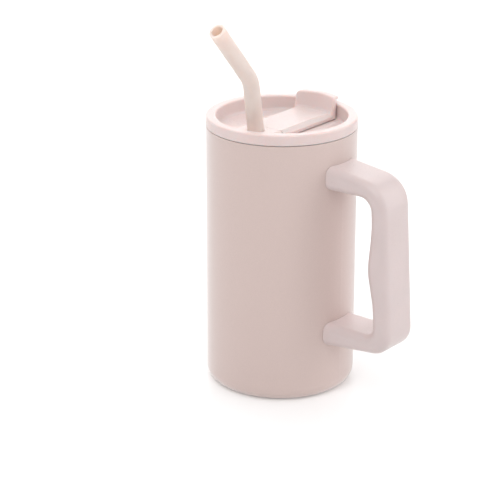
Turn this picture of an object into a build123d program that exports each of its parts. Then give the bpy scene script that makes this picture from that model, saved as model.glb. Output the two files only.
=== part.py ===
"""Insulated straw mug: double-wall steel body, D handle, push-in lid with a sip flap, bent straw.

Frame: origin at the centre of the foot, +Z up, +X towards the handle, +Y towards the flap's tab.
The straw stands on the -Y side. All lengths are millimetres, all angles are degrees.
"""
import math
import os

from build123d import *

# ---- Mug body ----
mug_radius = 46.0
mug_height = 163.4
foot_corner_radius = 7.5
foot_ring_inner_radius = 34.0
shell_wall = 0.6
liner_radius = 42.0
liner_wall = 0.5
liner_floor_height, liner_floor_rise = 10.0, 4.0
liner_corner_radius = 3.9
lip_thickness = 0.8
edge_break = 0.35
lid_seam_gap, lid_seam_depth = 0.45, 1.2
base_pan_height = 5.4
base_pan_wall = 0.6
pan_inner_bend, pan_outer_bend = 0.6, 1.2
base_cover_height, base_cover_thickness = 2.0, 0.8
port_radius = 1.6
port_seal_radius, port_seal_drop, port_seal_edge_radius = 3.2, 1.2, 0.5
getter_x, getter_radius, getter_height, getter_wall = 14.0, 4.5, 2.6, 0.6

# ---- Handle ----
handle_width = 28.8
handle_edge_radius = 5.0
handle_root_gap = 0.15
handle_start = 30.0
arm_top, arm_bottom = 150.4, 133.6
lower_arm_top, lower_arm_bottom = 48.9, 32.6
arm_bottom_climb, lower_arm_top_drop = 0.7, 0.5
grip_top_reach, grip_bottom_reach = 84.9, 91.2
grip_top_height, grip_bottom_height = 143.3, 38.9
grip_inner_top, grip_inner_bottom = 74.4, 78.5
upper_outer_bend, lower_outer_bend = 19.0, 13.0
upper_inner_bend, lower_inner_bend = 8.0, 6.0
finger_ridge = ((116, 0.0, 90.0), (90, -3.5, 40.0), (68, 0.1, 50.0))
grip_wall = 2.6
cover_half_width = 7.2
cover_low, cover_high = 60.0, 124.0
cover_gap, cover_depth, cover_ledge = 0.1, 2.4, 1.2
bracket_width, bracket_foot_height, bracket_thickness = 14.0, 7.4, 1.6
bracket_reach, bracket_tip_radius = 63.0, 2.0
socket_half_width, socket_half_height, socket_end_gap = 8.4, 4.0, 1.5
screw_reach, screw_pillar_radius = 57.0, 4.2
screw_radius, screw_gap, screw_tip_rise = 1.5, 0.1, 2.6
screw_head_radius, screw_head_height = 2.8, 2.2
screw_socket_radius, screw_socket_depth = 1.4, 1.2
plug_radius, plug_thickness, plug_edge_radius = 3.1, 1.6, 0.4
plug_recess, plug_bore_depth = 0.5, 4.6

# ---- Lid ----
rim_height = 6.8
rim_inner_radius = 40.0
rim_edge_radius = 1.1
rim_seam_radius = 0.2
bowl_depth, bowl_draft = 9.0, 0.5
bowl_corner_radius = 2.0
deck_thickness, deck_under_radius = 3.2, 1.0
plug_wall_radius, plug_wall = 41.5, 2.0
plug_wall_depth = 9.4
lid_base_depth, lid_base_thickness = 14.0, 2.0
lid_base_lower_radius, lid_base_upper_radius = 0.8, 0.4
spigot_height, spigot_wall, spigot_gap = 5.5, 1.6, 0.1
boss_gap = 0.2
seal_lip_radius, seal_root_radius, seal_gap = 41.75, 40.6, 0.05

# ---- Band across the lid: sip flap at +Y, fixed bridge at -Y ----
band_depth = 4.5
band_flat = 11.6
groove_width, groove_depth = 0.5, 0.35
band_half_width = 14.9
band_chamfer_drop = 1.9
band_edge_radius, band_crest_radius = 0.8, 0.6
flap_bottom_depth = 8.4
flap_end_radius = 37.6
flap_skin, flap_wall, flap_back_wall, flap_end_wall = 1.4, 1.5, 1.2, 2.0
hinge_y = -13.5
hinge_below_top = 2.8
hinge_relief_radius, hinge_side_gap = 4.25, 0.4
hinge_floor_below_axis = 3.3
knuckle_radius, knuckle_length = 1.7, 2.2
knuckle_center = 7.9
pin_radius, pin_length = 0.8, 28.8
pin_running_gap, pin_end_chamfer = 0.05, 0.15
ear_center, ear_thickness, ear_radius = 10.6, 2.4, 1.6
ear_notch_gap, ear_notch_reach, ear_notch_rise = 0.35, 2.3, 1.85
tab_rise, tab_end_rise = 10.0, 9.3
tab_crown_radius, tab_corner_radius = 100.0, 2.8
tab_inner_radius, tab_lean = 34.0, 0.22
tab_lip_radius, tab_lip_thickness, tab_lip_slope = 41.2, 2.0, 0.5
tab_lip_corner_radius, tab_lip_root_radius = 0.7, 0.8
tab_edge_radius, tab_thumb_radius = 0.6, 1.3
tab_root_radius, tab_root_depth = 1.6, 3.0
sip_y = 23.0
sip_length, sip_width, sip_tube_wall = 14.0, 8.0, 2.0
vent_y, vent_radius, vent_tube_wall = 3.0, 1.0, 1.5
stopper_seat_margin, stopper_seat_wall, stopper_seat_rise = 1.0, 2.0, 0.6
stopper_gap, stopper_nose_gap, stopper_nose_depth = 0.1, 0.9, 2.0
stopper_nose_taper = 12

# ---- Straw ----
straw_radius, straw_bore_radius = 5.0, 3.3
straw_lean = 8.5
straw_mouth_angle = 41.0
straw_mouth_length, straw_end_radius = 47.8, 0.55
straw_bend_height = 26.9
straw_bend_radius = 18.0
straw_floor_gap = 6.0
straw_hole_y = -24.9
straw_hole_depth = 8.0
straw_hole_radius = 5.3
grommet_bore_radius, grommet_radius = 5.1, 6.8
grommet_length, grommet_edge_radius = 4.6, 0.5
grommet_lift, grommet_seat_gap = 2.9, 0.1
straw_boss_radius = 9.0

# ---- Heights that follow from the sizes above ----
liner_floor_top = liner_floor_height + liner_floor_rise
lid_top = mug_height + rim_height
deck_top = lid_top - bowl_depth
deck_bottom = deck_top - deck_thickness
band_top = lid_top - band_depth
band_edge = band_top - band_chamfer_drop
flap_bottom = lid_top - flap_bottom_depth
hinge_height = band_top - hinge_below_top
hinge_floor = hinge_height - hinge_floor_below_axis
plug_wall_bottom = mug_height - plug_wall_depth
lid_base_bottom = mug_height - lid_base_depth
lid_base_top = lid_base_bottom + lid_base_thickness
boss_top = deck_bottom - boss_gap
pan_under = base_pan_height - base_pan_wall
tab_inner_top = tab_inner_radius + tab_lean * tab_rise
grip_slope = (grip_inner_bottom - grip_inner_top) / (grip_top_height - grip_bottom_height)


# ---- Helpers ----
def section(*corners):
    """Closed face in the XZ plane; each corner is (x, z, corner radius)."""
    points = [(x, z) for x, z, _ in corners]
    radii = [radius for _, _, radius in corners]
    return Plane.XZ * make_face(FilletPolyline(*points, radius=radii, close=True))


def turned(*corners):
    """Solid of revolution about Z from (radius, z, corner radius) corners."""
    return revolve(section(*corners), axis=Axis.Z)


def block(x_range, y_range, z_range):
    """Box between the given low and high coordinates."""
    low = (x_range[0], y_range[0], z_range[0])
    size = (x_range[1] - x_range[0], y_range[1] - y_range[0], z_range[1] - z_range[0])
    return Pos(*low) * Box(*size, align=(Align.MIN, Align.MIN, Align.MIN))


def rod_z(radius, low, high, x=0.0, y=0.0):
    """Upright cylinder from height low to height high."""
    return Pos(x, y, low) * Cylinder(radius, high - low, align=(Align.CENTER, Align.CENTER, Align.MIN))


def rod_x(radius, length, y, z, x=0.0):
    """Cylinder along X, centred on x."""
    return Pos(x, y, z) * Rot(0, 90, 0) * Cylinder(radius, length)


def straw_frame(height):
    """Location on the straw's leaning axis at the given height, with local Z along the axis."""
    hole_height = lid_top - straw_hole_depth
    y = straw_hole_y - (height - hole_height) * math.tan(math.radians(straw_lean))
    return Pos(0, y, height) * Rot(straw_lean, 0, 0)


def straw_rod(radius, low, high):
    """Cylinder on the straw's leaning axis, its end centres at heights low and high."""
    length = (high - low) / math.cos(math.radians(straw_lean))
    return straw_frame(low) * Cylinder(radius, length, align=(Align.CENTER, Align.CENTER, Align.MIN))


# ---- Mug body ----
def outer_shell():
    """Powder-coated outer cup with a rounded foot corner and an open middle under the foot."""
    inner = mug_radius - shell_wall
    return turned(
        (foot_ring_inner_radius, 0, 0),
        (mug_radius, 0, foot_corner_radius),
        (mug_radius, mug_height, edge_break),
        (inner, mug_height, 0),
        (inner, shell_wall, foot_corner_radius - shell_wall),
        (foot_ring_inner_radius, shell_wall, 0),
    )


def inner_liner():
    """Bare steel tube of the inner cup; its flanged lip closes the vacuum space at the mouth."""
    outside = liner_radius + liner_wall
    lip_radius = mug_radius - shell_wall
    return turned(
        (liner_radius, liner_floor_top, 0),
        (liner_radius, mug_height, edge_break),
        (lip_radius, mug_height, 0),
        (lip_radius, mug_height - lip_thickness, 0),
        (outside, mug_height - lip_thickness, edge_break),
        (outside, liner_floor_top, 0),
    )


def liner_floor():
    """Pressed dish welded to the foot of the inner tube; it is the bottom of the drink space."""
    outside = liner_radius + liner_wall
    return turned(
        (0, liner_floor_height, 0),
        (liner_radius, liner_floor_height, liner_corner_radius),
        (liner_radius, liner_floor_top, 0),
        (outside, liner_floor_top, 0),
        (outside, liner_floor_height - liner_wall, liner_corner_radius + liner_wall),
        (0, liner_floor_height - liner_wall, 0),
    )


def outer_base():
    """Pressed pan welded inside the foot ring; it closes the vacuum space from below."""
    rim = foot_ring_inner_radius
    pan = turned(
        (0, pan_under, 0),
        (rim - base_pan_wall, pan_under, pan_inner_bend),
        (rim - base_pan_wall, 0, 0),
        (rim, 0, 0),
        (rim, base_pan_height, pan_outer_bend),
        (0, base_pan_height, 0),
    )
    return pan - rod_z(port_radius, 0, base_pan_height + 1)


def port_seal():
    """Round bead that closes the evacuation port in the middle of the pan."""
    bead_bottom = pan_under - port_seal_drop
    return turned(
        (0, bead_bottom, 0),
        (port_seal_radius, bead_bottom, port_seal_edge_radius),
        (port_seal_radius, pan_under, 0),
        (port_radius, pan_under, 0),
        (port_radius, base_pan_height, 0),
        (0, base_pan_height, 0),
    )


def getter_cup():
    """Small cup of getter metal that sits in the vacuum space, beside the port."""
    body = rod_z(getter_radius, base_pan_height, base_pan_height + getter_height, x=getter_x)
    hollow = rod_z(getter_radius - getter_wall, base_pan_height + getter_wall,
                   base_pan_height + getter_height + 1, x=getter_x)
    return body - hollow


def base_cover():
    """Plain steel disc pressed into the pan; it hides the port and seal."""
    radius = foot_ring_inner_radius - base_pan_wall
    return turned(
        (0, base_cover_height, 0),
        (radius, base_cover_height, edge_break),
        (radius, base_cover_height + base_cover_thickness, 0),
        (0, base_cover_height + base_cover_thickness, 0),
    )


# ---- Handle ----
def grip_inner_x(height):
    """Reach of the grip's straight inner line at a height, before the finger ridge."""
    return grip_inner_top + grip_slope * (grip_top_height - height)


def handle_outline():
    """Side view of the D handle, with a low finger ridge on the inside of the grip."""
    corners = [
        (handle_start, arm_top, 0),
        (grip_top_reach, grip_top_height, upper_outer_bend),
        (grip_bottom_reach, grip_bottom_height, lower_outer_bend),
        (handle_start, lower_arm_bottom, 0),
        (handle_start, lower_arm_top, 0),
        (grip_inner_bottom, lower_arm_top - lower_arm_top_drop, lower_inner_bend),
    ]
    for height, offset, radius in reversed(finger_ridge):
        corners.append((grip_inner_x(height) + offset, height, radius))
    corners.append((grip_inner_top, arm_bottom + arm_bottom_climb, upper_inner_bend))
    corners.append((handle_start, arm_bottom, 0))
    return section(*corners)


def handle_solid():
    """Whole handle form with rounded long edges, cut to sit on the round body."""
    blank = extrude(handle_outline(), handle_width / 2, both=True)
    long_edges = blank.faces().filter_by(Axis.Y).edges().filter_by(
        lambda edge: abs(edge.center().X - handle_start) > 1)
    blank = fillet(long_edges, handle_edge_radius)
    return blank - rod_z(mug_radius + handle_root_gap, 0, lid_top)


def cover_zone(half_width, low, high, back_offset):
    """Leaning block that takes in the grip's inner face, back_offset behind its straight line."""
    front = 40.0
    outline = section(
        (front, low, 0),
        (grip_inner_x(low) + back_offset, low, 0),
        (grip_inner_x(high) + back_offset, high, 0),
        (front, high, 0),
    )
    return extrude(outline, half_width, both=True)


def arm_socket(middle):
    """Hollow in an arm for its bracket, with a screw pillar left standing under the tongue."""
    hollow = block((mug_radius - 4, bracket_reach + socket_end_gap),
                   (-socket_half_width, socket_half_width),
                   (middle - socket_half_height, middle + socket_half_height))
    tongue_under = middle - bracket_thickness / 2
    return hollow - rod_z(screw_pillar_radius, middle - 5, tongue_under, x=screw_reach)


def screw_bore(arm_under, middle):
    """Stepped hole from the underside of an arm for its screw and plug."""
    through = rod_z(screw_radius + screw_gap, arm_under - 2, middle + 3, x=screw_reach)
    head = rod_z(plug_radius, arm_under - 2, arm_under + plug_bore_depth, x=screw_reach)
    return through + head


def at_screw(start, end, reach):
    """Height at the screw of an arm's edge that runs from start at the root to end at reach."""
    return start + (end - start) * (screw_reach - handle_start) / (reach - handle_start)


upper_arm_under = at_screw(arm_bottom, arm_bottom + arm_bottom_climb, grip_inner_top)
upper_arm_over = at_screw(arm_top, grip_top_height, grip_top_reach)
upper_arm_middle = (upper_arm_under + upper_arm_over) / 2
lower_arm_under = at_screw(lower_arm_bottom, grip_bottom_height, grip_bottom_reach)
lower_arm_over = at_screw(lower_arm_top, lower_arm_top - lower_arm_top_drop, grip_inner_bottom)
lower_arm_middle = (lower_arm_under + lower_arm_over) / 2
arms = ((upper_arm_under, upper_arm_middle), (lower_arm_under, lower_arm_middle))


def handle_shell(solid):
    """Moulded handle: hollow grip closed by an inner cover, hollow arm roots for the brackets."""
    shell = solid
    hollow_depth = grip_top_reach - grip_inner_top - grip_wall
    shell -= cover_zone(cover_half_width, cover_low, cover_high, cover_depth)
    shell -= cover_zone(cover_half_width - cover_ledge, cover_low + cover_ledge,
                        cover_high - cover_ledge, hollow_depth)
    for under, middle in arms:
        shell -= arm_socket(middle)
        shell -= screw_bore(under, middle)
    return shell


def handle_grip_cover(solid):
    """Finger-ridge cover welded into the inside of the grip."""
    zone = cover_zone(cover_half_width - cover_gap, cover_low + cover_gap,
                      cover_high - cover_gap, cover_depth)
    return solid & zone


def handle_bracket(middle):
    """Steel bracket welded to the body: a curved foot and a flat tongue with a screw hole."""
    half = bracket_width / 2
    inside = mug_radius - 6
    foot = block((inside, mug_radius + 6), (-half, half),
                 (middle - bracket_foot_height / 2, middle + bracket_foot_height / 2))
    foot = foot & rod_z(mug_radius + bracket_thickness, 0, lid_top)
    tongue = block((inside, bracket_reach), (-half, half),
                   (middle - bracket_thickness / 2, middle + bracket_thickness / 2))
    tip_edges = tongue.edges().filter_by(Axis.Z).sort_by(Axis.X)[-2:]
    tongue = fillet(tip_edges, bracket_tip_radius)
    bracket = foot + tongue - rod_z(mug_radius, 0, lid_top)
    return bracket - rod_z(screw_radius, middle - 5, middle + 5, x=screw_reach)


def handle_screws():
    """One screw up through the underside of each arm into its bracket."""
    screws = []
    for under, middle in arms:
        head_top = under + plug_bore_depth
        head_low = head_top - screw_head_height
        head = rod_z(screw_head_radius, head_low, head_top, x=screw_reach)
        hexagon = extrude(RegularPolygon(screw_socket_radius, 6), screw_socket_depth)
        shank = rod_z(screw_radius, head_top, middle + screw_tip_rise, x=screw_reach)
        screws.append(head - Pos(screw_reach, 0, head_low) * hexagon + shank)
    return Compound(children=screws)


def screw_plugs():
    """Press-in plugs that hide the screws."""
    plugs = []
    for under, _ in arms:
        low = under + plug_recess
        plug = rod_z(plug_radius, low, low + plug_thickness, x=screw_reach)
        plugs.append(fillet(plug.edges().sort_by(Axis.Z)[0], plug_edge_radius))
    return Compound(children=plugs)


# ---- Band profile shared by the flap and the bridge ----
def band_bar(y_range, bottom):
    """Bar along Y with the band's flat top and sloping sides."""
    outline = section(
        (-band_half_width, bottom, 0),
        (-band_half_width, band_edge, band_edge_radius),
        (-band_flat - groove_width, band_top, band_crest_radius),
        (band_flat + groove_width, band_top, band_crest_radius),
        (band_half_width, band_edge, band_edge_radius),
        (band_half_width, bottom, 0),
    )
    return Pos(0, y_range[1], 0) * extrude(outline, y_range[1] - y_range[0])


def band_grooves(y_range):
    """Two fine grooves that part the band's flat top from its slopes."""
    left, right = [
        block((x - groove_width / 2, x + groove_width / 2), y_range,
              (band_top - groove_depth, band_top + 1))
        for x in (-band_flat - groove_width / 2, band_flat + groove_width / 2)]
    return left + right


def stadium_post(length, width, low, high, y):
    """Upright solid with a rounded-slot outline, long way across X."""
    return Pos(0, y, low) * extrude(SlotOverall(length, width), high - low)


# ---- Lid ----
def lid_bowl():
    """Rim, bowl and plug wall of the lid, as one turned form."""
    deck_radius = rim_inner_radius - bowl_draft
    plug_inside = plug_wall_radius - plug_wall
    return turned(
        (0, deck_top, 0),
        (deck_radius, deck_top, bowl_corner_radius),
        (rim_inner_radius, lid_top, rim_edge_radius),
        (mug_radius, lid_top, rim_edge_radius),
        (mug_radius, mug_height + lid_seam_gap, rim_seam_radius),
        (mug_radius - lid_seam_depth, mug_height + lid_seam_gap, 0),
        (mug_radius - lid_seam_depth, mug_height, 0),
        (plug_wall_radius, mug_height, 0),
        (plug_wall_radius, plug_wall_bottom, edge_break),
        (plug_inside, plug_wall_bottom, 0),
        (plug_inside, deck_bottom, deck_under_radius),
        (0, deck_bottom, 0),
    )


def hinge_relief():
    """Round clearance about the hinge axis that the flap's back edge turns in."""
    reach = hinge_relief_radius + 1
    width = 2 * (band_half_width + hinge_side_gap)
    round_space = rod_x(hinge_relief_radius, width, hinge_y, hinge_height)
    kept = block((-30, 30), (hinge_y - reach, hinge_y + reach), (hinge_floor, band_top + 1))
    return round_space & kept


def hinge_ear(x):
    """Upright ear that carries the hinge pin."""
    half = ear_thickness / 2
    stem = block((x - half, x + half), (hinge_y - ear_radius, hinge_y + ear_radius),
                 (hinge_floor - 0.2, hinge_height))
    return stem + rod_x(ear_radius, ear_thickness, hinge_y, hinge_height, x=x)


def lid_cover():
    """Top of the lid: rim and bowl, fixed bridge, hinge ears, sip, vent and straw holes."""
    bridge_span = (-rim_inner_radius - 2, hinge_y)
    bridge = band_bar(bridge_span, deck_top - 0.5) - band_grooves(bridge_span)
    bridge = bridge & rod_z(rim_inner_radius + 0.5, 0, lid_top)
    cover = lid_bowl() + bridge - hinge_relief()
    for x in (-ear_center, ear_center):
        cover += hinge_ear(x)
        cover -= rod_x(pin_radius + pin_running_gap, ear_thickness + 1, hinge_y, hinge_height, x=x)
    cover -= stadium_post(sip_length, sip_width, deck_bottom - 1, deck_top + 1, sip_y)
    cover -= rod_z(vent_radius, deck_bottom - 1, deck_top + 1, y=vent_y)
    return cover - straw_rod(straw_hole_radius, deck_bottom - 3, lid_top)


def lid_base():
    """Bottom of the lid: a closing disc with a spigot, the sip tube and the straw boss."""
    spigot_outside = plug_wall_radius - plug_wall - spigot_gap
    spigot_inside = spigot_outside - spigot_wall
    base = turned(
        (0, lid_base_bottom, 0),
        (plug_wall_radius, lid_base_bottom, lid_base_lower_radius),
        (plug_wall_radius, lid_base_top, lid_base_upper_radius),
        (spigot_outside, lid_base_top, 0),
        (spigot_outside, lid_base_top + spigot_height, 0),
        (spigot_inside, lid_base_top + spigot_height, 0),
        (spigot_inside, lid_base_top, 0),
        (0, lid_base_top, 0),
    )
    clear_of_deck = block((-50, 50), (-50, 50), (lid_base_top - 1, boss_top))
    base += straw_rod(straw_boss_radius, lid_base_top - 2, boss_top + 3) & clear_of_deck
    base += stadium_post(sip_length + 2 * sip_tube_wall, sip_width + 2 * sip_tube_wall,
                         lid_base_top - 1, boss_top, sip_y)
    base += rod_z(vent_radius + vent_tube_wall, lid_base_top - 1, boss_top, y=vent_y)
    base -= stadium_post(sip_length, sip_width, lid_base_bottom - 1, boss_top + 1, sip_y)
    base -= rod_z(vent_radius, lid_base_bottom - 1, boss_top + 1, y=vent_y)
    base -= straw_rod(straw_hole_radius, lid_base_bottom - 3, boss_top + 3)
    return base - straw_rod(grommet_radius + grommet_seat_gap, lid_base_top, boss_top + 3)


def lid_seal():
    """Soft ring in the groove of the lid's plug, with two lips towards the liner."""
    inside = plug_wall_radius - plug_wall
    low, high = lid_base_top + seal_gap, plug_wall_bottom - seal_gap
    lip = (high - low) / 5
    return turned(
        (inside, low, 0),
        (seal_lip_radius, low, lip / 3),
        (seal_lip_radius, low + lip, lip / 3),
        (seal_root_radius, low + 1.7 * lip, lip / 2),
        (seal_root_radius, high - 1.7 * lip, lip / 2),
        (seal_lip_radius, high - lip, lip / 3),
        (seal_lip_radius, high, lip / 3),
        (inside, high, 0),
    )


def straw_grommet():
    """Soft ring in the lid that holds the straw and turns with it."""
    ring = Cylinder(grommet_radius, grommet_length)
    ring -= Cylinder(grommet_bore_radius, grommet_length + 1)
    outer_edges = ring.edges().filter_by(GeomType.CIRCLE).group_by(SortBy.RADIUS)[-1]
    return straw_frame(lid_base_top + grommet_lift) * fillet(outer_edges, grommet_edge_radius)


# ---- Flap ----
def tab_front():
    """Front view of the tab: flush with the flap's sides, crowned top, rounded corners."""
    half, low = band_half_width, band_top - tab_root_depth
    end_top = band_top + tab_end_rise
    return section(
        (-half, low, 0),
        (-half, end_top, tab_corner_radius),
        (0, band_top + tab_rise, tab_crown_radius),
        (half, end_top, tab_corner_radius),
        (half, low, 0),
    )


def axis_distance(edge):
    """Distance of an edge's middle from the mug's axis."""
    return math.hypot(edge.center().X, edge.center().Y)


def raised_edges(body):
    """Curved edges that stand well above the band's flat top."""
    return [edge for edge in body.edges()
            if edge.bounding_box().max.Z > band_top + 2 and edge.geom_type != GeomType.LINE]


def tab():
    """Raised thumb tab at the flap's end: a curved, leaning wall with an outward lip."""
    top = band_top + tab_rise
    under = band_top + tab_end_rise - tab_lip_thickness
    wall = turned(
        (tab_inner_radius - tab_lean * tab_root_depth, band_top - tab_root_depth, 0),
        (tab_inner_radius + tab_lean * (tab_rise + 1), top + 1, 0),
        (tab_lip_radius, top + 1, 0),
        (tab_lip_radius, under + tab_lip_slope, tab_lip_corner_radius),
        (flap_end_radius + tab_lip_root_radius, under, tab_lip_root_radius),
        (flap_end_radius, band_top, 0),
        (flap_end_radius, band_top - tab_root_depth, 0),
    )
    wall = wall & (Pos(0, 50, 0) * extrude(tab_front(), 50))
    thumb_side = [edge for edge in raised_edges(wall) if axis_distance(edge) < tab_inner_top + 1]
    wall = fillet(thumb_side, tab_thumb_radius)
    lip_side = [edge for edge in raised_edges(wall) if axis_distance(edge) > flap_end_radius + 1.3]
    return fillet(lip_side, tab_edge_radius)


def rounded_tab_root(body):
    """Fills the corner where the tab's inner face rises from the band."""
    root = [
        edge for edge in body.edges()
        if abs(axis_distance(edge) - tab_inner_radius) < 1
        and edge.bounding_box().min.Z > band_edge - 1
        and edge.bounding_box().max.Z < band_top + 0.01
        and edge.geom_type != GeomType.LINE]
    return fillet(root, tab_root_radius)


def hinge_knuckles():
    """Bosses under the flap that hold the pin, beside each ear and at the side walls."""
    knuckles = []
    half = knuckle_length / 2
    for side in (-1, 1):
        x = side * knuckle_center
        wall_x = side * (band_half_width - flap_wall / 2)
        knuckles += [
            rod_x(knuckle_radius, knuckle_length, hinge_y, hinge_height, x=x),
            block((x - half, x + half), (hinge_y - knuckle_radius, hinge_y + knuckle_radius),
                  (hinge_height, band_top - flap_skin / 2)),
            rod_x(knuckle_radius, flap_wall, hinge_y, hinge_height, x=wall_x),
        ]
    return knuckles


def ear_notch(x):
    """Slot in the flap's back that clears a hinge ear through the whole swing."""
    half = ear_thickness / 2 + ear_notch_gap
    return block((x - half, x + half),
                 (hinge_y - hinge_below_top - 1, hinge_y + ear_notch_reach),
                 (flap_bottom - 3, hinge_height + ear_notch_rise))


def stopper_seat():
    """Slot-shaped collar under the flap, and the pocket in it that holds the stopper."""
    length = sip_length + 2 * stopper_seat_margin
    width = sip_width + 2 * stopper_seat_margin
    wall = 2 * stopper_seat_wall
    collar = stadium_post(length + wall, width + wall, flap_bottom + stopper_seat_rise,
                          band_top - flap_skin / 2, sip_y)
    return collar, stadium_post(length, width, flap_bottom - 1, band_top - flap_skin, sip_y)


def flap():
    """Hinged sip flap: band-shaped shell with a tab, a stopper seat and hinge knuckles."""
    back = hinge_y - hinge_below_top
    bar = band_bar((back, 50), flap_bottom) & rod_z(flap_end_radius, 0, lid_top)
    body = rounded_tab_root(bar + tab())
    inner_half_width = band_half_width - flap_wall
    under = block((-inner_half_width, inner_half_width),
                  (back + flap_back_wall, tab_inner_radius - flap_wall),
                  (flap_bottom - 1, band_top - flap_skin))
    body -= under & rod_z(flap_end_radius - flap_end_wall, 0, lid_top)
    body -= band_grooves((back - 1, tab_inner_radius - 2 * tab_root_radius))
    for knuckle in hinge_knuckles():
        body += knuckle
    for x in (-ear_center, ear_center):
        body -= ear_notch(x)
    collar, pocket = stopper_seat()
    body = body + collar - pocket
    return body - rod_x(pin_radius, 2 * band_half_width + 2, hinge_y, hinge_height)


def flap_seal():
    """Soft stopper held under the flap: a pad over the sip hole and a tapered nose in it."""
    pad_low = deck_top + stopper_gap
    length = sip_length + 2 * stopper_seat_margin
    width = sip_width + 2 * stopper_seat_margin
    core = stadium_post(length - stopper_gap, width - stopper_gap, pad_low,
                        band_top - flap_skin, sip_y)
    brim = stadium_post(length + 2 * stopper_seat_wall - 2, width + 2 * stopper_seat_wall - 2,
                        pad_low, flap_bottom + stopper_seat_rise - stopper_gap, sip_y)
    nose_gap = 2 * stopper_nose_gap
    nose_face = Pos(0, sip_y, pad_low) * SlotOverall(sip_length - nose_gap, sip_width - nose_gap)
    return core + brim + extrude(nose_face, -stopper_nose_depth, taper=stopper_nose_taper)


def hinge_pin():
    """Steel pin pressed in the flap; it turns in the lid's ears."""
    pin = rod_x(pin_radius, pin_length, hinge_y, hinge_height)
    return chamfer(pin.edges().filter_by(GeomType.CIRCLE), pin_end_chamfer)


# ---- Straw ----
def straw():
    """Soft bent straw: a leaning lower run, one round bend and a short mouth run."""
    bend_height = lid_top + straw_bend_height
    low = liner_floor_height + straw_floor_gap
    foot_point = straw_frame(low).position
    bend_point = straw_frame(bend_height).position
    mouth_angle = math.radians(straw_mouth_angle)
    mouth_step = Vector(0, -math.sin(mouth_angle), math.cos(mouth_angle)) * straw_mouth_length
    path = FilletPolyline(foot_point, bend_point, bend_point + mouth_step, radius=straw_bend_radius)
    ring = straw_frame(low) * (Circle(straw_radius) - Circle(straw_bore_radius))
    tube = sweep(ring, path=path)
    end_edges = tube.edges().filter_by(GeomType.CIRCLE).filter_by(
        lambda edge: edge.arc_center.Z > bend_height + 20 or edge.arc_center.Z < low + 2)
    return fillet(end_edges, straw_end_radius)


def build():
    """All pieces by node name."""
    solid = handle_solid()
    return {
        "outer_shell": outer_shell(),
        "inner_liner": inner_liner(),
        "liner_floor": liner_floor(),
        "outer_base": outer_base(),
        "port_seal": port_seal(),
        "getter_cup": getter_cup(),
        "base_cover": base_cover(),
        "upper_bracket": handle_bracket(upper_arm_middle),
        "lower_bracket": handle_bracket(lower_arm_middle),
        "handle_shell": handle_shell(solid),
        "handle_grip_cover": handle_grip_cover(solid),
        "handle_screws": handle_screws(),
        "screw_plugs": screw_plugs(),
        "lid_cover": lid_cover(),
        "lid_base": lid_base(),
        "lid_seal": lid_seal(),
        "straw_grommet": straw_grommet(),
        "flap": flap(),
        "flap_seal": flap_seal(),
        "hinge_pin": hinge_pin(),
        "straw": straw(),
    }


os.makedirs("parts", exist_ok=True)
for name, shape in build().items():
    export_step(shape, f"parts/{name}.step")
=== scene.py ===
"""Looks, light and camera for the insulated straw mug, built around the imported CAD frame."""
import math

import bpy
from mathutils import Matrix, Vector


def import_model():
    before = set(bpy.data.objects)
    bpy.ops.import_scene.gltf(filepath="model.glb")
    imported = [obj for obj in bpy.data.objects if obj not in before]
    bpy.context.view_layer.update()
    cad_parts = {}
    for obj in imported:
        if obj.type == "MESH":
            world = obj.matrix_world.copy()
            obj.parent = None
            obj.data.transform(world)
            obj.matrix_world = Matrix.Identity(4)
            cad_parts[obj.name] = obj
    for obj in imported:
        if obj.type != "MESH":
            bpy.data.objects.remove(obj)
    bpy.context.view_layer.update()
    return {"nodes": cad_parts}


# ---- Camera: a long lens a little above the mug, turned towards the handle side ----
CAMERA_AZIMUTH = math.radians(37.5)
CAMERA_DISTANCE = 1.0989
CAMERA_HEIGHT = 0.4931
CAMERA_TILT = math.radians(20.2)
CAMERA_TURN = math.radians(-1.32)
CAMERA_LENS = 141.95
SENSOR_WIDTH = 36.0

# ---- Light ----
WORLD_STRENGTH = 0.27
FLOOR_SIZE = 12.0
# strength of the painted glow on the floor, which lifts the shade near the mug's foot
FLOOR_GLOW = 0.16
LIGHT_TARGET = (0.0, 0.0, 0.09)
SOFTBOXES = {
    "overhead": {"place": (0.0, 0.0, 1.9), "size": 2.6, "power": 12.0},
    "front": {"place": (0.42, -1.06, 1.30), "size": 1.4, "power": 15.5},
    "back": {"place": (-1.04, 1.35, 0.75), "size": 2.4, "power": 26.0},
    "left": {"place": (-1.49, -0.30, 0.7), "size": 1.6, "power": 7.5},
    "right": {"place": (1.20, 0.96, 0.7), "size": 1.6, "power": 14.5},
}

# ---- Base colours, linear ----
COAT_COLOUR = (0.650, 0.515, 0.480)
HANDLE_COLOUR = (0.655, 0.550, 0.540)
LID_COLOUR = (0.750, 0.625, 0.605)
STRAW_COLOUR = (0.940, 0.680, 0.610)
SEAL_COLOUR = (0.760, 0.720, 0.700)
STEEL_COLOUR = (0.800, 0.790, 0.780)
FLOOR_COLOUR = (0.830, 0.830, 0.830)
WHITE = (1.0, 1.0, 1.0, 1.0)

# ---- Surfaces ----
NOISE_LOW = 0.3
NOISE_HIGH = 0.7
MICRON = 0.000001
PLASTIC_SCATTER = (1.0, 0.6, 0.5)
SILICONE_SCATTER = (1.0, 0.9, 0.8)


# ---- Node helpers ----
def new_material(name):
    """Plain node material; returns it with its node tree and its shader."""
    material = bpy.data.materials.new(name)
    material.use_nodes = True
    tree = material.node_tree
    shader = tree.nodes["Principled BSDF"]
    return material, tree, shader


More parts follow.
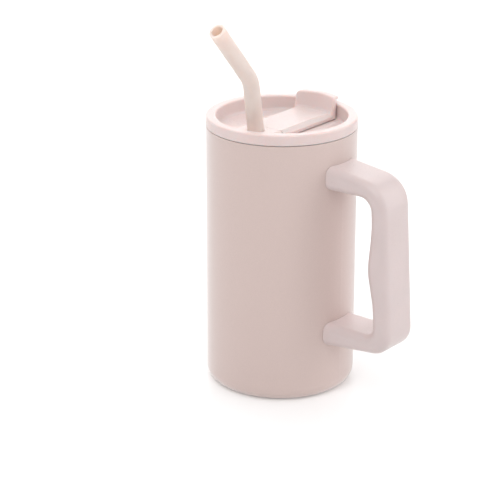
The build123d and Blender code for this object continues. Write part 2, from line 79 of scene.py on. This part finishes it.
def noise(tree, scale, detail, stretch=(1.0, 1.0, 1.0)):
    """Noise in object space; scale counts features per metre."""
    place = tree.nodes.new("ShaderNodeTexCoord")
    squeeze = tree.nodes.new("ShaderNodeMapping")
    squeeze.inputs["Scale"].default_value = stretch
    texture = tree.nodes.new("ShaderNodeTexNoise")
    texture.inputs["Scale"].default_value = scale
    texture.inputs["Detail"].default_value = detail
    tree.links.new(place.outputs["Object"], squeeze.inputs["Vector"])
    tree.links.new(squeeze.outputs["Vector"], texture.inputs["Vector"])
    return texture.outputs["Fac"]


def spread(tree, value, low, high):
    """Maps the middle of a noise to the range low to high."""
    remap = tree.nodes.new("ShaderNodeMapRange")
    remap.inputs["From Min"].default_value = NOISE_LOW
    remap.inputs["From Max"].default_value = NOISE_HIGH
    remap.inputs["To Min"].default_value = low
    remap.inputs["To Max"].default_value = high
    tree.links.new(value, remap.inputs["Value"])
    return remap.outputs["Result"]


def tinted(tree, value, colour, shade):
    """Colour that varies between a shade of itself and itself as value goes from 0 to 1."""
    mix = tree.nodes.new("ShaderNodeMix")
    mix.data_type = "RGBA"
    mix.inputs["A"].default_value = (*[c * shade for c in colour], 1)
    mix.inputs["B"].default_value = (*colour, 1)
    tree.links.new(spread(tree, value, 0.0, 1.0), mix.inputs["Factor"])
    return mix.outputs["Result"]


def bumps(tree, shader, *layers):
    """Stacked bump layers, each (height value, height in microns, strength)."""
    normal = None
    for value, height, strength in layers:
        bump = tree.nodes.new("ShaderNodeBump")
        bump.inputs["Distance"].default_value = height * MICRON
        bump.inputs["Strength"].default_value = strength
        tree.links.new(value, bump.inputs["Height"])
        if normal is not None:
            tree.links.new(normal, bump.inputs["Normal"])
        normal = bump.outputs["Normal"]
    tree.links.new(normal, shader.inputs["Normal"])


def scatter(shader, weight, radius, depth):
    """Lets light into the surface; depth is how far it sinks in, in metres."""
    shader.inputs["Subsurface Weight"].default_value = weight
    shader.inputs["Subsurface Radius"].default_value = radius
    shader.inputs["Subsurface Scale"].default_value = depth


# ---- Materials ----
def powder_coat():
    """Matt powder coat: fine grain, faint orange peel and a little colour speckle."""
    material, tree, shader = new_material("powder_coat")
    grain = noise(tree, scale=2600, detail=2.0)
    peel = noise(tree, scale=420, detail=1.0)
    tree.links.new(tinted(tree, grain, COAT_COLOUR, shade=0.93), shader.inputs["Base Color"])
    tree.links.new(spread(tree, peel, low=0.50, high=0.60), shader.inputs["Roughness"])
    shader.inputs["Sheen Weight"].default_value = 0.9
    shader.inputs["Sheen Roughness"].default_value = 0.4
    bumps(tree, shader, (peel, 40, 0.35), (grain, 30, 0.35))
    return material


def moulded_plastic(name, colour, grain_scale, weight, depth):
    """Satin moulded plastic with spark-eroded grain; weight and depth say how light sinks in."""
    material, tree, shader = new_material(name)
    grain = noise(tree, grain_scale, detail=3.0)
    cloud = noise(tree, scale=60, detail=2.0)
    tree.links.new(tinted(tree, cloud, colour, shade=0.97), shader.inputs["Base Color"])
    tree.links.new(spread(tree, grain, low=0.26, high=0.36), shader.inputs["Roughness"])
    scatter(shader, weight, PLASTIC_SCATTER, depth)
    bumps(tree, shader, (grain, 20, 0.3))
    return material


def soft_tube():
    """Silicone of the straw: milky, satin, lets light through its wall."""
    material, tree, shader = new_material("soft_tube")
    cloud = noise(tree, scale=140, detail=3.0)
    fine = noise(tree, scale=1500, detail=2.0)
    tree.links.new(tinted(tree, cloud, STRAW_COLOUR, shade=0.95), shader.inputs["Base Color"])
    tree.links.new(spread(tree, fine, low=0.42, high=0.52), shader.inputs["Roughness"])
    scatter(shader, 1.0, SILICONE_SCATTER, depth=0.006)
    bumps(tree, shader, (fine, 20, 0.25))
    return material


def soft_seal():
    """Whitish silicone of the rings and the stopper."""
    material, tree, shader = new_material("soft_seal")
    fine = noise(tree, scale=900, detail=2.0)
    tree.links.new(tinted(tree, fine, SEAL_COLOUR, shade=0.95), shader.inputs["Base Color"])
    tree.links.new(spread(tree, fine, low=0.38, high=0.50), shader.inputs["Roughness"])
    scatter(shader, 0.6, SILICONE_SCATTER, depth=0.003)
    bumps(tree, shader, (fine, 30, 0.2))
    return material


def brushed_steel(name, stretch):
    """Stainless steel with brush lines; stretch squeezes the lines' short direction."""
    material, tree, shader = new_material(name)
    lines = noise(tree, scale=60, detail=4.0, stretch=stretch)
    cloud = noise(tree, scale=40, detail=2.0)
    tree.links.new(tinted(tree, cloud, STEEL_COLOUR, shade=0.9), shader.inputs["Base Color"])
    tree.links.new(spread(tree, lines, low=0.24, high=0.38), shader.inputs["Roughness"])
    shader.inputs["Metallic"].default_value = 1.0
    bumps(tree, shader, (lines, 30, 0.25))
    return material


def floor_material():
    """Pale satin board that the mug stands on, with a faint painted glow that lifts the shade
    around the mug's foot.
    """
    material, tree, shader = new_material("pale_board")
    cloud = noise(tree, scale=3, detail=2.0)
    tree.links.new(tinted(tree, cloud, FLOOR_COLOUR, shade=0.995), shader.inputs["Base Color"])
    shader.inputs["Roughness"].default_value = 0.25
    shader.inputs["Specular IOR Level"].default_value = 0.15
    # painted glow: the board gives off light though it is no lamp, which brightens the shade
    # beside the mug
    shader.inputs["Emission Color"].default_value = WHITE
    shader.inputs["Emission Strength"].default_value = FLOOR_GLOW
    return material


def dress(nodes):
    """Gives every CAD node its finished material."""
    lid = moulded_plastic("lid_plastic", LID_COLOUR, 1800, weight=0.8, depth=0.002)
    handle = moulded_plastic("handle_plastic", HANDLE_COLOUR, 2200, weight=0.15, depth=0.0015)
    round_steel = brushed_steel("steel_round", stretch=(1.0, 1.0, 60.0))
    plain_steel = brushed_steel("steel_plain", stretch=(1.0, 40.0, 1.0))
    seal = soft_seal()
    finishes = {
        powder_coat(): ("outer_shell",),
        round_steel: ("inner_liner", "liner_floor"),
        plain_steel: ("outer_base", "base_cover", "port_seal", "getter_cup", "upper_bracket",
                      "lower_bracket", "handle_screws", "hinge_pin"),
        handle: ("handle_shell", "handle_grip_cover", "screw_plugs"),
        lid: ("lid_cover", "lid_base", "flap"),
        seal: ("lid_seal", "straw_grommet", "flap_seal"),
        soft_tube(): ("straw",),
    }
    for material, names in finishes.items():
        for name in names:
            node = nodes[name]
            for slot in node.material_slots:
                slot.material = material


# ---- Stage ----
def floor():
    """Large pale floor at the mug's foot."""
    half = FLOOR_SIZE / 2
    mesh = bpy.data.meshes.new("floor")
    corners = [(-half, -half, 0), (half, -half, 0), (half, half, 0), (-half, half, 0)]
    mesh.from_pydata(corners, [], [(0, 1, 2, 3)])
    board = bpy.data.objects.new("floor", mesh)
    bpy.context.scene.collection.objects.link(board)
    mesh.materials.append(floor_material())


def world():
    """Even white surroundings."""
    surroundings = bpy.data.worlds.new("studio")
    surroundings.use_nodes = True
    light = surroundings.node_tree.nodes["Background"]
    light.inputs["Color"].default_value = WHITE
    light.inputs["Strength"].default_value = WORLD_STRENGTH
    bpy.context.scene.world = surroundings
    bpy.context.scene.view_settings.view_transform = "Standard"


def softbox(name, place, size, power):
    """Square area light at place that faces the mug."""
    data = bpy.data.lights.new(name, "AREA")
    data.size = size
    data.energy = power
    lamp = bpy.data.objects.new(name, data)
    lamp.location = place
    lamp.rotation_mode = "QUATERNION"
    lamp.rotation_quaternion = (Vector(LIGHT_TARGET) - Vector(place)).to_track_quat("-Z", "Y")
    lamp.visible_camera = False
    bpy.context.scene.collection.objects.link(lamp)


def camera():
    """Camera at the viewing angle: to the side of the handle, a little above the lid."""
    right = Vector((math.cos(CAMERA_AZIMUTH), math.sin(CAMERA_AZIMUTH), 0))
    away = Vector((-math.sin(CAMERA_AZIMUTH), math.cos(CAMERA_AZIMUTH), 0))
    up = Vector((0, 0, 1))
    heading = math.sin(CAMERA_TURN) * right + math.cos(CAMERA_TURN) * away
    forward = math.cos(CAMERA_TILT) * heading - math.sin(CAMERA_TILT) * up
    side = forward.cross(up).normalized()
    data = bpy.data.cameras.new("camera")
    data.lens = CAMERA_LENS
    data.sensor_width = SENSOR_WIDTH
    viewer = bpy.data.objects.new("camera", data)
    turn = Matrix((side, side.cross(forward), -forward)).transposed()
    place = CAMERA_HEIGHT * up - CAMERA_DISTANCE * away
    viewer.matrix_world = Matrix.Translation(place) @ turn.to_4x4()
    bpy.context.scene.collection.objects.link(viewer)
    bpy.context.scene.camera = viewer


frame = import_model()
dress(frame["nodes"])
floor()
world()
for name, setup in SOFTBOXES.items():
    softbox(name, **setup)
camera()
